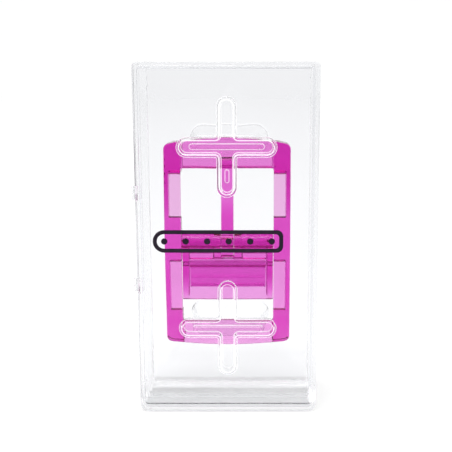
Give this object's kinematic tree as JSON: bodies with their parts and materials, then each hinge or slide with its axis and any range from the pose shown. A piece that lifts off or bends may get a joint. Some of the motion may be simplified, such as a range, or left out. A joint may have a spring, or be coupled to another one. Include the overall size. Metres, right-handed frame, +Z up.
{
  "type": "cased belt buckle",
  "caption": "Tinted clear plastic belt buckle with prong and toothed clamp, held upright in a clear hinged display case.",
  "frame": {"origin": "middle of the case's underside, on the surface it stands on", "axes": "+Z up along the case's height, -Y towards the front with the cover, +X to the right seen from the front"},
  "size_m": [0.0787, 0.039, 0.149],
  "materials": {
    "case_clear": "clear rigid plastic, glossy",
    "cover_clear": "clear rigid plastic, glossy",
    "case_pin": "clear plastic, satin",
    "buckle_tint": "translucent magenta plastic, glossy",
    "buckle_pin": "translucent magenta plastic, glossy",
    "prong_tint": "translucent magenta plastic, glossy",
    "clamp_tint": "translucent magenta plastic, glossy",
    "lever_tint": "translucent magenta plastic, glossy"
  },
  "bodies": {
    "case": {"case_tray": "case_clear", "case_hinge_pin_upper": "case_pin", "case_hinge_pin_lower": "case_pin", "buckle_frame": "buckle_tint", "buckle_hinge_pin": "buckle_pin"},
    "cover": {"case_cover": "cover_clear"},
    "prong": {"buckle_prong": "prong_tint"},
    "clamp": {"clamp_body": "clamp_tint", "clamp_lever_pin": "buckle_pin"},
    "lever": {"clamp_lever": "lever_tint"}
  },
  "joints": [
    {"name": "cover_hinge", "type": "hinge", "parent": "case", "child": "cover", "pos_m": [-0.0391, -0.0095, 0.0745], "axis": [0, 0, -1], "range_deg": [0, 120]},
    {"name": "prong_swing", "type": "hinge", "parent": "case", "child": "prong", "pos_m": [0, -0.0128, 0.0737], "axis": [1, 0, 0], "range_deg": [0, 90]},
    {"name": "clamp_swing", "type": "hinge", "parent": "case", "child": "clamp", "pos_m": [0, -0.0128, 0.0737], "axis": [1, 0, 0], "range_deg": [0, 80]},
    {"name": "lever_swing", "type": "hinge", "parent": "clamp", "child": "lever", "pos_m": [0, -0.009, 0.0638], "axis": [1, 0, 0], "range_deg": [0, 70]}
  ],
  "couplings": [
    {"joint": "prong_swing", "follows": "cover_hinge", "ratio": 0.75}
  ]
}
